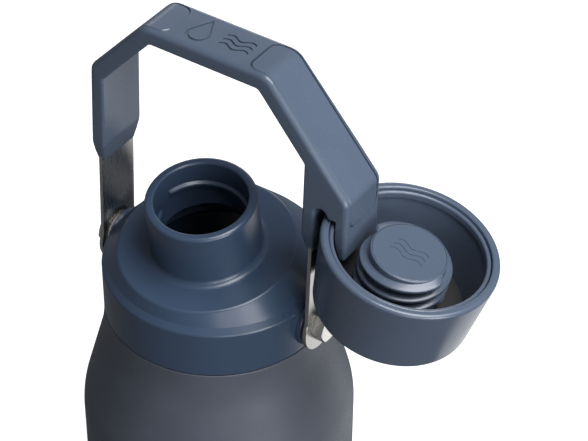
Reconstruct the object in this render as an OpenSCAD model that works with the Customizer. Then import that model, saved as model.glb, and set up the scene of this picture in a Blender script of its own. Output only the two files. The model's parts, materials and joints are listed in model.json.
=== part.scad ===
// Large insulated water jug with a leaning pour spout, a swinging carry handle
// and a screw cap that docks on a hook in the handle's right leg.
// Millimetres. Origin on the bottle's axis at the base, +Z up, the pivots along X,
// the spout leaning towards -Y and the docked cap on +X.

/* [Bottle] */
// Outside radius of the straight body
body_r = 65; // [60:0.5:70]
// Height of the seam between bottle and lid
seam_z = 186; // [160:1:230]
// Outside radius of the seam and of the lid's collar
collar_r = 52.5; // [51:0.1:54]
// Radius of the hollow curve at the top of the shoulder
shoulder_top_r = 85; // [60:1:100]
// Radius of the round curve at the foot of the shoulder
shoulder_foot_r = 54; // [40:1:70]
// Slope of the straight part of the shoulder, in degrees from upright
shoulder_slope = 15; // [13:0.5:18]
// Thickness of both steel walls
steel_t = 1; // [0.8:0.1:1.4]
// Distance from the outside of the bottle to the outside of the inner vessel
vacuum_offset = 4.5; // [4:0.1:5]
// Inside radius of the threaded neck
neck_r = 46; // [45.5:0.1:46.5]
// Depth of the threaded neck below the seam
neck_depth = 34; // [31:1:36]

/* [Lid] */
// Height of the collar's upright wall
collar_h = 24; // [22:0.5:26]
// Radius at the top of the collar's chamfer
shoulder_ring_r = 50; // [48:0.1:51]
// Height of that ring above the seam
shoulder_ring_h = 27; // [25:0.1:29]
// Forward lean of the spout, in degrees
spout_lean = 7.8; // [4:0.1:9]
// Radius of the flat tier that the cap closes on
tier_r = 40.9; // [39:0.1:41.5]
// Height of the tier along the leaning axis
tier_h = 31.35; // [30:0.05:32]
// Outside radius of the spout
spout_r = 25.4; // [24:0.1:26]
// Inside radius of the spout
spout_bore_r = 21.2; // [21:0.1:21.6]
// Height of the spout's rim along the leaning axis
spout_h = 61.2; // [58:0.1:64]

/* [Handle] */
// Height of the pivots above the seam
pivot_h = 13.2; // [12.5:0.1:14]
// Backward lean of the handle at rest, in degrees
handle_lean = 2.66; // [0:0.01:5]
// Height of the top bar above the pivots
handle_h = 132.3; // [128:0.1:136]
// Thickness of the top bar
bar_t = 7.8; // [7:0.1:9]
// Width of the top bar along Y
bar_w = 26.3; // [25:0.1:27]
// Width of the legs along Y
leg_w = 28; // [27:0.1:28.4]
// Half the distance between the legs' inner faces
leg_inner_x = 52.7; // [52.5:0.1:53]
// Width of the steel straps
strap_w = 24; // [22:0.5:25]
// Thickness of the steel straps
strap_t = 2; // [1.8:0.1:2.2]
// Radius of the straps' round eyes
eye_r = 13.4; // [13:0.1:13.6]
// Across-corners radius of the hexagonal bolt heads
hex_r = 8.4; // [8:0.1:8.8]
// Radius of the bolts' shoulders
bolt_r = 4; // [3.6:0.1:4.4]

/* [Cap] */
// Outside radius of the cap's rim
cap_r = 39.75; // [39:0.05:40]
// Outside radius of the cap's closed end
cap_end_r = 35; // [34.5:0.1:35.5]
// Depth of the cap from rim to closed end
cap_depth = 38.5; // [38:0.1:39]
// Outward tilt of the docked cap, in degrees
cap_tilt = 11.74; // [11:0.02:12.5]
// Radius of the plug's core
plug_core_r = 17.2; // [17:0.1:18]
// Radius over the plug's thread
plug_thread_r = 20.5; // [20.3:0.1:20.7]
// Radius of the disc on the plug's end
plug_disc_r = 16.5; // [15:0.1:17]
// Height of one turn of each of the plug's two threads
plug_lead = 12; // [10:0.5:13]

/* [Hidden] */
$fn = 96;
ARC_STEPS = 8;
RUN_GAP = 0.1;
RUN_CLEAR = 0.05;
// How far a cutter runs past the face that it opens
PAST = 1;

// Colours
COAT = [0.27, 0.30, 0.35];
NAVY = [0.20, 0.25, 0.33];
SLATE = [0.40, 0.46, 0.55];
STEEL = [0.70, 0.70, 0.68];
BRASS = [0.78, 0.62, 0.30];
SILICONE = [0.06, 0.06, 0.07];
FOAM = [0.90, 0.88, 0.78];
NYLON = [0.85, 0.85, 0.82];

// Shoulder, measured down from the seam
arc_sum = shoulder_top_r + shoulder_foot_r;
slope_dx = body_r - collar_r - arc_sum * (1 - cos(shoulder_slope));
shoulder_h = arc_sum * sin(shoulder_slope) + slope_dx / tan(shoulder_slope);
shoulder_z = seam_z - shoulder_h;
rim_chamfer = 0.4;
rim_z = seam_z - rim_chamfer;

// Base
foot_r = 5;
ring_inner_r = 52;
base_cover_t = 0.8;
base_plate_z = 2.2;
base_plate_lap = 3;
cover_ring_r = 50.6;
cover_ring_w = 1;
vacuum_port_r = 2;
vacuum_head_r = 4.5;
vacuum_head_t = 0.8;
getter_x = 18;
getter_r = 5;
getter_t = 2.4;
vessel_floor_z = 9;
vessel_corner_r = 8;
neck_flare_h = 5;
neck_step_slope = 1.2;

// Lid
collar_z = seam_z + 0.1;
wall_t = 3;
spout_axis_y = -2.7;
spout_axis_z = 7.2;
fillet_r = 3.2;
tube_foot_h = 23;
bell_foot_h = 27.6;
bell_top_h = 34.6;
bell_r = 27.5;
bell_wall = 2.5;
boss_r = 12.6;
boss_face_x = 53.9;
boss_lap = 2.5;
flange_z = seam_z + 1.4;
flange_t = 2.2;
skirt_r = 45.4;
skirt_depth = 25;
skirt_wall = 3.4;
funnel_r = 31;
funnel_wall = 2.4;
funnel_h = 25;
lid_fit = 0.2;
gasket_r = 49;
gasket_squeeze = 0.05;
foam_top_h = 21;
foam_top_r = 35.5;
foam_foot_r = 41.5;

// Pivots
pivot_z = seam_z + pivot_h;
strap_x = 55.4;
washer_r = 10.5;
washer_t = 0.7;
bush_r = 5.6;
bush_flange_r = 9.5;
insert_r = 5.5;
insert_x = 43.5;
bolt_thread_r = 3;
bolt_thread_len = 20;
hex_h = 4.8;

// Handle outline in its own frame: x, and z above the pivots
bend_x = 32.3;
inner_bend_x = 28;
left_x = -59.8;
slant = 48.6;
bend_round = 9;
leg_round = 6;
leg_end_z = 48.5;
leg_taper_h = 11;
leg_end_in_x = 54.6;
leg_end_out_x = 58;
leg_end_corner = 0.8;
inner_corner = 1.5;
slot_top_z = 76.2;
slot_left_x = 58.7;
slot_round = 3.2;
tongue_x = 75;
tongue_end_z = 51;
grip_taper_h = 36;
grip_end_corner = 9;
strap_depth = 3.6;
strap_slant_len = 26;
strap_play = 0.05;
cover_t = 1.2;
cover_w = 22;
cover_top_x = 20.8;
cover_end_z = 69;
cover_play = 0.1;
screw_along = [16, 26];
screw_r = 1.5;
screw_head_r = 3;
screw_head_t = 1.9;
screw_tip = 6.8;
screw_play = 0.1;

// Docked cap in the handle's frame
cap_x = 99.6;
cap_z = 64.3;
cap_floor = 31;
cap_wall = 3.8;
cap_end_t = 2.2;
liner_gap = 0.2;
liner_wall = 2;
liner_floor_t = 2;
liner_hole_r = plug_core_r - 4;
rim_round = 1.5;
end_round = 3;
plug_top = 3.1;
plug_wall = 2.4;
plug_bevel = 0.6;
disc_t = 1.6;
plug_thread_top = 2.2;
plug_thread_w = 2.6;
plug_turns = 1.4;
plug_starts = [-2, 178];
cap_gasket_in_r = plug_core_r + 1.2;
cap_gasket_margin = 6.6;
cap_gasket_t = 1.55;

// Frames -----------------------------------------------------------------

// Places children in the leaning frame of the spout
module spout_frame() {
    translate([0, spout_axis_y, seam_z + spout_axis_z])
        rotate([spout_lean, 0, 0])
            children();
}

// Places children in the frame of the handle, with its origin between the pivots
module handle_frame() {
    translate([0, 0, pivot_z])
        rotate([-handle_lean, 0, 0])
            children();
}

// Places children in the frame of the docked cap: rim at z = 0, open end up
module cap_frame() {
    handle_frame()
        translate([cap_x, 0, cap_z])
            rotate([0, cap_tilt, 0])
                children();
}

// Puts children at the pivots' height; side is 1 for right and -1 for left
module at_pivot(side) {
    translate([0, 0, pivot_z])
        mirror([side < 0 ? 1 : 0, 0, 0])
            children();
}

// A cylinder along X that starts at x
module rod_x(x, r, len) {
    translate([x, 0, 0])
        rotate([0, 90, 0])
            cylinder(r = r, h = len);
}

// An outline drawn in X and Z, made w wide along Y about the middle
module plate_xz(w) {
    rotate([90, 0, 0])
        linear_extrude(height = w, center = true)
            children();
}

// Outline helpers --------------------------------------------------------

// Points along an arc from angle a0 to angle a1
function arc(c, r, a0, a1, n = ARC_STEPS) = [
    for (i = [0:n])
        let (a = a0 + (a1 - a0) * i / n)
        [c[0] + r * cos(a), c[1] + r * sin(a)]
];

function reversed(pts) = [for (i = [len(pts) - 1:-1:0]) pts[i]];

// The shoulder's side from foot to seam, moved inwards by t
function shoulder_foot(t) =
    arc([body_r - shoulder_foot_r, shoulder_z], shoulder_foot_r - t, 0, shoulder_slope);
function shoulder_top(t) =
    reversed(arc([collar_r + shoulder_top_r, seam_z], shoulder_top_r + t, 180, 180 + shoulder_slope));

// Side of the inner vessel, t inside the bottle's outer surface
function vessel_side(t) =
    let (
        inward = t - vacuum_offset,
        foot_end_r = body_r - shoulder_foot_r + (shoulder_foot_r - t) * cos(shoulder_slope),
        foot_end_z = shoulder_z + (shoulder_foot_r - t) * sin(shoulder_slope),
        neck_z = seam_z - neck_depth - neck_step_slope * inward,
        flare_z = neck_z - neck_flare_h
    )
    concat(
        [[0, vessel_floor_z + inward - steel_t]],
        arc([body_r - vacuum_offset - vessel_corner_r, vessel_floor_z + vessel_corner_r - steel_t],
            vessel_corner_r - inward, -90, 0),
        shoulder_foot(t),
        [[foot_end_r - (flare_z - foot_end_z) * tan(shoulder_slope), flare_z]],
        [[neck_r + steel_t - inward, neck_z], [neck_r + steel_t - inward, rim_z]]
    );

// Bottle -----------------------------------------------------------------

module outer_shell() {
    mouth_r = neck_r + steel_t;
    outside = concat(
        [[ring_inner_r, 0]],
        arc([body_r - foot_r, foot_r], foot_r, -90, 0),
        shoulder_foot(0),
        shoulder_top(0),
        [[collar_r - rim_chamfer, rim_z], [mouth_r, rim_z]]
    );
    inside = concat(
        [[ring_inner_r, steel_t]],
        arc([body_r - foot_r, foot_r], foot_r - steel_t, -90, 0),
        shoulder_foot(steel_t),
        shoulder_top(steel_t),
        [[collar_r - steel_t, rim_z - steel_t], [mouth_r, rim_z - steel_t]]
    );
    color(COAT)
        rotate_extrude()
            polygon(concat(outside, reversed(inside)));
}

module inner_liner() {
    color(STEEL)
        rotate_extrude()
            polygon(concat(vessel_side(vacuum_offset), reversed(vessel_side(vacuum_offset + steel_t))));
}

// Structural bottom, with an upright flange against the shell's inner edge
module base_plate() {
    color(STEEL)
        difference() {
            translate([0, 0, steel_t])
                cylinder(r = ring_inner_r + base_plate_lap, h = base_plate_z);
            cylinder(r = ring_inner_r - steel_t, h = base_plate_z);
            translate([0, 0, steel_t])
                cylinder(r = vacuum_port_r, h = base_plate_z + PAST);
        }
}

module base_cover() {
    color(COAT)
        union() {
            cylinder(r = ring_inner_r - lid_fit, h = base_cover_t);
            difference() {
                cylinder(r = cover_ring_r, h = base_plate_z);
                translate([0, 0, -PAST])
                    cylinder(r = cover_ring_r - cover_ring_w, h = base_plate_z + 2 * PAST);
            }
        }
}

// Plug that closes the port through which the wall was emptied
module vacuum_seal() {
    color(BRASS)
        union() {
            translate([0, 0, base_plate_z])
                cylinder(r = vacuum_port_r, h = steel_t);
            translate([0, 0, base_plate_z - vacuum_head_t])
                cylinder(r = vacuum_head_r, h = vacuum_head_t);
        }
}

// Gas-absorbing pellet under the inner vessel
module getter() {
    color(SILICONE)
        translate([getter_x, 0, vessel_floor_z - steel_t - getter_t])
            cylinder(r = getter_r, h = getter_t);
}

// Lid --------------------------------------------------------------------

module lid_gasket() {
    color(SILICONE)
        rotate_extrude()
            polygon([
                [neck_r + lid_fit, rim_z + gasket_squeeze],
                [gasket_r, rim_z + gasket_squeeze],
                [gasket_r, flange_z - gasket_squeeze],
                [neck_r + lid_fit, flange_z - gasket_squeeze]
            ]);
}

// Smooth body between the round collar and the tilted tier
module lid_loft(inset, top_h) {
    hull() {
        translate([0, 0, seam_z + shoulder_ring_h - 1 - inset])
            cylinder(r = shoulder_ring_r - inset, h = 1, $fn = 64);
        spout_frame()
            translate([0, 0, top_h - 1])
                cylinder(r = tier_r - inset, h = 1, $fn = 64);
    }
}

module lid_cavity() {
    inside_r = collar_r - wall_t;
    ring_z = seam_z + shoulder_ring_h;
    translate([0, 0, seam_z - 1])
        cylinder(r = inside_r, h = ring_z - wall_t - seam_z + 1.1);
    lid_loft(wall_t, tier_h - wall_t);
}

// One boss that carries a pivot, reaching in to hold the insert
module pivot_boss() {
    intersection() {
        rod_x(insert_x - boss_lap, boss_r, boss_face_x - insert_x + boss_lap);
        translate([0, -boss_r, collar_z - pivot_z])
            cube([boss_face_x + PAST, 2 * boss_r, 2 * boss_r]);
    }
}

// Ring of fillet between tier and spout, for the revolved outline
module spout_fillet() {
    centre = [spout_r + fillet_r, tier_h + fillet_r];
    rotate_extrude()
        polygon(concat(
            [[spout_r - 1, tier_h - 1], [centre[0], tier_h - 1]],
            reversed(arc(centre, fillet_r, 180, 270)),
            [[spout_r - 1, centre[1]]]
        ));
}

// One ridge of thread on the inside or outside of a round wall.
// Four-sided section: deep is its height off the wall, wide its foot along the axis.
module thread_ridge(r, deep, wide, pitch, turns) {
    steps = 36;
    count = ceil(steps * turns);
    crest = wide * 0.4;
    function fade(i) = min(1, i / 4, (count - i) / 4);
    function section(i) =
        let (
            a = 360 * i / steps,
            z = pitch * i / steps,
            tip = r + deep * max(0.02, fade(i)),
            root = r - 0.3 * sign(deep)
        )
        [
            [root * cos(a), root * sin(a), z - wide / 2],
            [tip * cos(a), tip * sin(a), z - crest / 2],
            [tip * cos(a), tip * sin(a), z + crest / 2],
            [root * cos(a), root * sin(a), z + wide / 2]
        ];
    points = [for (i = [0:count]) each section(i)];
    sides = [
        for (i = [0:count - 1])
            for (k = [0:3])
                let (a = 4 * i + k, b = 4 * i + (k + 1) % 4)
                deep > 0 ? [a, b, b + 4, a + 4] : [a + 4, b + 4, b, a]
    ];
    first = [0, 1, 2, 3];
    last = [4 * count, 4 * count + 1, 4 * count + 2, 4 * count + 3];
    ends = deep > 0 ? [reversed(first), last] : [first, reversed(last)];
    polyhedron(points = points, faces = concat(sides, ends), convexity = 4);
}

module lid_outside() {
    translate([0, 0, collar_z])
        cylinder(r = collar_r, h = collar_h);
    translate([0, 0, collar_z + collar_h])
        cylinder(r1 = collar_r, r2 = shoulder_ring_r, h = shoulder_ring_h - collar_h - 0.1);
    lid_loft(0, tier_h);
    spout_frame() {
        cylinder(r = spout_r, h = spout_h);
        spout_fillet();
    }
}

// Room inside the collar for the liner's flange and the gasket under it
module flange_room() {
    translate([0, 0, seam_z - PAST])
        cylinder(r = collar_r - wall_t, h = PAST + flange_z + flange_t + lid_fit - seam_z);
}

// The way through the spout: a bore that opens into a bell below the tier
module spout_passage() {
    rotate_extrude()
        polygon([
            [0, tube_foot_h - PAST],
            [bell_r, tube_foot_h - PAST],
            [bell_r, bell_foot_h],
            [spout_bore_r, bell_top_h],
            [spout_bore_r, spout_h + PAST],
            [0, spout_h + PAST]
        ]);
}

module lid_shell() {
    color(NAVY)
        difference() {
            union() {
                difference() {
                    lid_outside();
                    lid_cavity();
                }
                spout_frame()
                    translate([0, 0, tube_foot_h])
                        cylinder(r = bell_r + bell_wall, h = tier_h - tube_foot_h - 1);
                for (side = [-1, 1])
                    at_pivot(side)
                        pivot_boss();
            }
            flange_room();
            spout_frame()
                spout_passage();
            for (side = [-1, 1])
                at_pivot(side)
                    rod_x(insert_x, insert_r, boss_face_x);
        }
}

// Outline of the liner: skirt into the neck, flange on the gasket, funnel above
module lid_liner() {
    inside_r = skirt_r - skirt_wall;
    flange_r = collar_r - wall_t - lid_fit;
    flange_top = flange_z + flange_t;
    funnel_z = seam_z + funnel_h;
    color(SLATE)
        rotate_extrude()
            polygon([
                [inside_r, seam_z - skirt_depth],
                [skirt_r, seam_z - skirt_depth],
                [skirt_r, flange_z],
                [flange_r, flange_z],
                [flange_r, flange_top],
                [inside_r - 2, flange_top],
                [funnel_r + funnel_wall, funnel_z],
                [funnel_r, funnel_z],
                [inside_r - 3, flange_z],
                [inside_r, seam_z - 4]
            ]);
}

// Foam between the two mouldings, with room for the bosses
module lid_insulation() {
    foam_z = flange_z + flange_t + lid_fit;
    foam_r = collar_r - wall_t - lid_fit;
    color(FOAM)
        difference() {
            rotate_extrude()
                polygon([
                    [foam_foot_r, foam_z],
                    [foam_r, foam_z],
                    [foam_r, seam_z + foam_top_h],
                    [foam_top_r, seam_z + foam_top_h]
                ]);
            for (side = [-1, 1])
                at_pivot(side)
                    rod_x(foam_top_r / 2, boss_r + 2 * lid_fit, foam_r);
        }
}

// Pivots -----------------------------------------------------------------

module pivot_insert(side) {
    color(BRASS)
        at_pivot(side)
            difference() {
                rod_x(insert_x, insert_r, boss_face_x - insert_x);
                rod_x(insert_x - PAST, bolt_thread_r, boss_face_x);
            }
}

module pivot_washer(side) {
    color(STEEL)
        at_pivot(side)
            difference() {
                rod_x(boss_face_x, washer_r, washer_t);
                rod_x(boss_face_x - PAST, bolt_r, washer_t + 2 * PAST);
            }
}

module pivot_bolt(side) {
    head_x = strap_x + strap_t + RUN_GAP;
    color(STEEL)
        at_pivot(side)
            union() {
                rod_x(boss_face_x - bolt_thread_len / 2, bolt_thread_r, bolt_thread_len / 2);
                rod_x(boss_face_x, bolt_r, head_x - boss_face_x);
                translate([head_x, 0, 0])
                    rotate([0, 90, 0])
                        rotate([0, 0, 30])
                            cylinder(r = hex_r, h = hex_h, $fn = 6);
            }
}

module pivot_bush(side) {
    flange_x = boss_face_x + washer_t + RUN_GAP;
    color(NYLON)
        handle_side(side)
            difference() {
                union() {
                    rod_x(flange_x, bush_flange_r, strap_x - flange_x);
                    rod_x(strap_x, bush_r, strap_t);
                }
                rod_x(flange_x - PAST, bolt_r + RUN_CLEAR, strap_x + strap_t - flange_x + 2 * PAST);
            }
}

// Handle -----------------------------------------------------------------

// Children in the handle's frame, mirrored for the left side
module handle_side(side) {
    handle_frame()
        mirror([side < 0 ? 1 : 0, 0, 0])
            children();
}

// Height of the outer slanting face at a distance x from the middle
function slant_z(x) = handle_h - (x - bend_x) * tan(slant);
// Height of the inner slanting face
function inner_slant_z(x) = handle_h - bar_t - (x - inner_bend_x) * tan(slant);

// The round corner from the slanting face down to end_z, moved inwards by t
function leg_path(outer_x, end_z, t) =
    let (
        leg_c_x = outer_x - leg_round,
        leg_c = [leg_c_x, slant_z(leg_c_x) - leg_round / cos(slant)]
    )
    concat(arc(leg_c, leg_round - t, 90 - slant, 0), [[outer_x - t, end_z]]);

// The handle's outer surface from the top bar to end_z, moved inwards by t
function outer_path(start_x, outer_x, end_z, t) =
    let (bend_c = [bend_x - bend_round * tan(slant / 2), handle_h - bend_round])
    concat(
        [[start_x, handle_h - t]],
        arc(bend_c, bend_round - t, 90, 90 - slant),
        leg_path(outer_x, end_z, t)
    );

// Half of the handle's outline in X and Z: over the top bar, round the leg's end and back
function half_outline(outer_x) = concat(
    outer_path(0, outer_x, leg_end_z + leg_taper_h, 0),
    [[leg_end_out_x, leg_end_z + leg_end_corner], [leg_end_out_x - leg_end_corner, leg_end_z]],
    [[leg_end_in_x + leg_end_corner, leg_end_z], [leg_end_in_x, leg_end_z + leg_end_corner]],
    [[leg_inner_x, leg_end_z + leg_taper_h]],
    [[leg_inner_x, inner_slant_z(leg_inner_x) - inner_corner]],
    [[leg_inner_x - inner_corner, inner_slant_z(leg_inner_x - inner_corner)]],
    [[inner_bend_x, handle_h - bar_t]]
);

module bail_outline() {
    left_half = [for (p = half_outline(-left_x)) [-p[0], p[1]]];
    polygon(concat(half_outline(slot_left_x), reversed(left_half)));
}

// Hook on the right leg: a tongue outside the slot that takes the cap's wall
module hook_outline() {
    slot_c = [slot_left_x + slot_round, slot_top_z - slot_round];
    polygon(concat(
        [[leg_inner_x + 1, slant_z(leg_inner_x + 1)]],
        leg_path(tongue_x, tongue_end_z + 5, 0),
        [[74.2, tongue_end_z + 2.4], [73, tongue_end_z + 1.4], [71.8, tongue_end_z + 2.4]],
        [[70.2, tongue_end_z + 7.7], [68.8, tongue_end_z + 14], [67.9, tongue_end_z + 18.6]],
        arc(slot_c, slot_round, 40, 180, 6),
        [[leg_inner_x + 1, slot_top_z - slot_round]]
    ));
}

// Front view of the grip: keeps the legs' ends round
module grip_front() {
    half = leg_w / 2;
    corner = grip_end_corner;
    rotate([90, 0, 90])
        linear_extrude(height = 200, center = true)
            polygon(concat(
                [[-bar_w / 2, handle_h + PAST], [-half, handle_h - grip_taper_h]],
                arc([-half + corner, leg_end_z + corner], corner, 180, 270, 5),
                arc([half - corner, leg_end_z + corner], corner, 270, 360, 5),
                [[half, handle_h - grip_taper_h], [bar_w / 2, handle_h + PAST]]
            ));
}

// The space swept by the cap's wall as it slides down out of the slot.
// Upright cylinders that match the tilted rim where it passes the slot.
module cap_wall_path() {
    play = 0.4;
    rim_in = cap_r - cap_wall - liner_gap - liner_wall - play;
    rim_out = cap_r + play;
    flat = cos(cap_tilt);
    top_z = slot_top_z - slot_round + play;
    difference() {
        translate([cap_x - flat * rim_out + rim_out / flat, 0, 0])
            cylinder(r = rim_out / flat, h = top_z);
        translate([cap_x - flat * rim_in + rim_in / flat, 0, -PAST])
            cylinder(r = rim_in / flat, h = top_z + 2 * PAST);
    }
}

// Slanting face's frame: origin where it meets the top bar, x down the slope, z outwards
module slant_frame() {
    translate([bend_x, 0, handle_h])
        rotate([0, slant, 0])
            children();
}

// Steel strap without its eye: an upright part and a bent end inside the slanting part
module strap_body(extra) {
    outer_x = strap_x + strap_t;
    bend_z = slant_z(outer_x) - strap_depth / cos(slant);
    wide = strap_w + 2 * extra;
    union() {
        translate([strap_x, -wide / 2, 0])
            cube([strap_t, wide, bend_z - 0.7]);
        translate([outer_x, 0, bend_z])
            rotate([0, slant - 90, 0])
                translate([-strap_t, -wide / 2, -0.8])
                    cube([strap_t, wide, strap_slant_len]);
    }
}

// The two screws of one side, square to the slanting face
module screw_places() {
    for (along = screw_along)
        slant_frame()
            translate([along, 0, 0])
                children();
}

// One screw with its head on the strap
module strap_screw() {
    translate([0, 0, -screw_tip])
        cylinder(r = screw_r, h = screw_tip - strap_depth);
    translate([0, 0, -strap_depth])
        cylinder(r = screw_head_r, h = screw_head_t);
}

// Stepped hole for one screw, which crosses the strap's pocket and the cover's recess
module screw_hole() {
    pocket_middle = strap_depth + strap_t / 2;
    translate([0, 0, -screw_tip - 2 * screw_play])
        cylinder(r = screw_r + screw_play, h = screw_tip);
    translate([0, 0, -pocket_middle])
        cylinder(r = screw_head_r + screw_play, h = pocket_middle - cover_t / 2);
}

module strap(side) {
    color(STEEL)
        handle_side(side)
            difference() {
                union() {
                    strap_body(0);
                    rod_x(strap_x, eye_r, strap_t);
                }
                rod_x(strap_x - PAST, bush_r, strap_t + 2 * PAST);
                screw_places()
                    translate([0, 0, -strap_depth - strap_t - PAST])
                        cylinder(r = screw_r, h = strap_t + 2 * PAST);
            }
}

module strap_screws(side) {
    color(STEEL)
        handle_side(side)
            screw_places()
                strap_screw();
}

// Inset plate over the screws, bent like the handle's outer surface
module cover_plate(outer_x, extra) {
    plate_xz(cover_w + 2 * extra)
        polygon(concat(
            outer_path(cover_top_x - extra, outer_x, cover_end_z - extra, -extra),
            reversed(outer_path(cover_top_x - extra, outer_x, cover_end_z - extra, cover_t + extra))
        ));
}

function cover_x(side) = side < 0 ? -left_x : tongue_x;

module cover(side) {
    color(SLATE)
        handle_side(side)
            cover_plate(cover_x(side), 0);
}

module handle_grip() {
    color(SLATE)
        handle_frame()
            difference() {
                intersection() {
                    plate_xz(leg_w) {
                        bail_outline();
                        hook_outline();
                    }
                    grip_front();
                }
                cap_wall_path();
                for (side = [-1, 1])
                    mirror([side < 0 ? 1 : 0, 0, 0]) {
                        strap_body(strap_play);
                        cover_plate(cover_x(side), cover_play);
                        screw_places()
                            screw_hole();
                    }
            }
}

// Cap --------------------------------------------------------------------

// Outside radius of the cap at depth d
function cap_side(d) = cap_r - (cap_r - cap_end_r) * d / cap_depth;

module cap_shell() {
    t = cap_wall;
    floor_d = cap_depth - cap_end_t;
    color(SLATE)
        cap_frame()
            rotate_extrude()
                polygon(concat(
                    [[0, -cap_depth]],
                    arc([cap_end_r - end_round, -cap_depth + end_round], end_round, -90, 0, 4),
                    arc([cap_r - rim_round, -rim_round], rim_round, 0, 90, 4),
                    [[cap_r - t, 0]],
                    [[cap_side(floor_d) - t, -floor_d], [0, -floor_d]]
                ));
}

module cap_liner() {
    t = cap_wall + liner_gap;
    d = t + liner_wall;
    top = 1;
    foot = cap_floor + liner_floor_t;
    color(SLATE)
        cap_frame()
            rotate_extrude()
                polygon([
                    [liner_hole_r, -foot],
                    [cap_side(foot) - t, -foot],
                    [cap_side(top) - t, -top],
                    [cap_side(top) - d, -top],
                    [cap_side(cap_floor) - d, -cap_floor],
                    [liner_hole_r, -cap_floor]
                ]);
}

module cap_plug() {
    inside_r = plug_core_r - plug_wall;
    ridge_h = plug_thread_r - plug_core_r;
    color(SLATE)
        cap_frame()
            union() {
                rotate_extrude()
                    polygon([
                        [inside_r, -cap_floor],
                        [plug_core_r, -cap_floor],
                        [plug_core_r, -plug_top - plug_bevel],
                        [plug_core_r - plug_bevel, -plug_top],
                        [plug_disc_r, -plug_top],
                        [plug_disc_r, -plug_top - disc_t],
                        [inside_r, -plug_top - disc_t]
                    ]);
                for (start = plug_starts)
                    translate([0, 0, -plug_top - plug_thread_top])
                        rotate([180, 0, start])
                            thread_ridge(plug_core_r, ridge_h, plug_thread_w, plug_lead, plug_turns);
            }
}

module plug_cover() {
    color(SLATE)
        cap_frame()
            translate([0, 0, -plug_top - disc_t])
                cylinder(r = plug_disc_r - RUN_GAP, h = disc_t);
}

module cap_gasket() {
    foot = -cap_floor + gasket_squeeze;
    out_r = cap_side(cap_floor) - cap_gasket_margin;
    color(SILICONE)
        cap_frame()
            rotate_extrude()
                polygon([
                    [cap_gasket_in_r, foot],
                    [out_r, foot],
                    [out_r, foot + cap_gasket_t],
                    [cap_gasket_in_r, foot + cap_gasket_t]
                ]);
}

module cap_insulation() {
    color(FOAM)
        cap_frame()
            translate([0, 0, -cap_depth + cap_end_t + RUN_GAP])
                cylinder(r = cap_end_r - cap_wall - 2 * liner_gap,
                    h = cap_depth - cap_floor - cap_end_t - liner_floor_t - 2 * RUN_GAP);
}

outer_shell();
inner_liner();
base_plate();
base_cover();
vacuum_seal();
getter();
lid_gasket();
lid_shell();
lid_liner();
lid_insulation();
pivot_insert(-1);  // pivot_insert_left
pivot_insert(1);  // pivot_insert_right
pivot_washer(-1);  // pivot_washer_left
pivot_washer(1);  // pivot_washer_right
pivot_bolt(-1);  // pivot_bolt_left
pivot_bolt(1);  // pivot_bolt_right
handle_grip();
strap(-1);  // strap_left
strap(1);  // strap_right
pivot_bush(-1);  // pivot_bush_left
pivot_bush(1);  // pivot_bush_right
strap_screws(-1);  // strap_screws_left
strap_screws(1);  // strap_screws_right
cover(-1);  // cover_left
cover(1);  // cover_right
cap_shell();
cap_liner();
cap_plug();
plug_cover();
cap_gasket();
cap_insulation();
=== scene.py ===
"""The large water jug's looks, built round its CAD frame. Lengths are in millimetres until a mesh is made."""

import json
import math

import bmesh
import bpy
from mathutils import Matrix, Vector
from mathutils.geometry import delaunay_2d_cdt


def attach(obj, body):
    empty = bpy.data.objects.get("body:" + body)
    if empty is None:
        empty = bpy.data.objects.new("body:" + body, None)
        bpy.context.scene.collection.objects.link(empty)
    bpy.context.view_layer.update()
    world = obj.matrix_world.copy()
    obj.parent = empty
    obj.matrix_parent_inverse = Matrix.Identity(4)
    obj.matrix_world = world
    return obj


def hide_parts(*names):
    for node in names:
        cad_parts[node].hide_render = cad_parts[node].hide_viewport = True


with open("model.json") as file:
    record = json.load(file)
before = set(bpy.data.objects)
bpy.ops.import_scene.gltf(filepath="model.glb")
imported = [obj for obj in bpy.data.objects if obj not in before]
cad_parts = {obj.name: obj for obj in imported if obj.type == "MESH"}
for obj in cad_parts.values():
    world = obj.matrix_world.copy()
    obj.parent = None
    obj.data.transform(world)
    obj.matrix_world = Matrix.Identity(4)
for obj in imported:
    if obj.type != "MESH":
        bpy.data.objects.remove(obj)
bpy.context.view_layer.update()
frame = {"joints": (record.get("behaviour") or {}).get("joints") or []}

MM = 0.001
SHARP_ANGLE = math.radians(32)
PAST = 1  # how far a cutting shape runs past the face that it opens

# Sides of round shapes
SEGMENTS = 160
LARGE_SEGMENTS = 192
SLOT_SEGMENTS = 240
DISC_SEGMENTS = 128
BOSS_SEGMENTS = 96
SMALL_SEGMENTS = 48
HOLE_SEGMENTS = 32

# Camera, in metres: where it stands, what it looks at, and its tilt about the line of sight
CAMERA_AT = Vector((0.44468, -0.62596, 0.90772))
CAMERA_LOOKS_AT = Vector((0.04052, 0.00921, 0.24953))
CAMERA_ROLL = 0.69
CAMERA_LENS = 138.64
CAMERA_SHIFT = (-0.0143, -0.0121)

# Bottle
BODY_R = 65
SEAM_Z = 186
COLLAR_R = 52.5
SHOULDER_TOP_R = 85
SHOULDER_FOOT_R = 54
SHOULDER_SLOPE = 15
SHOULDER_END_SLOPE = 2
SHOULDER_STEPS = 14
MOUTH_R = 47
RIM_Z = 185.6
STEEL_T = 1
FOOT_R = 5
FOOT_RING_R = 52
SEAM_ROUND = 0.5

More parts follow.
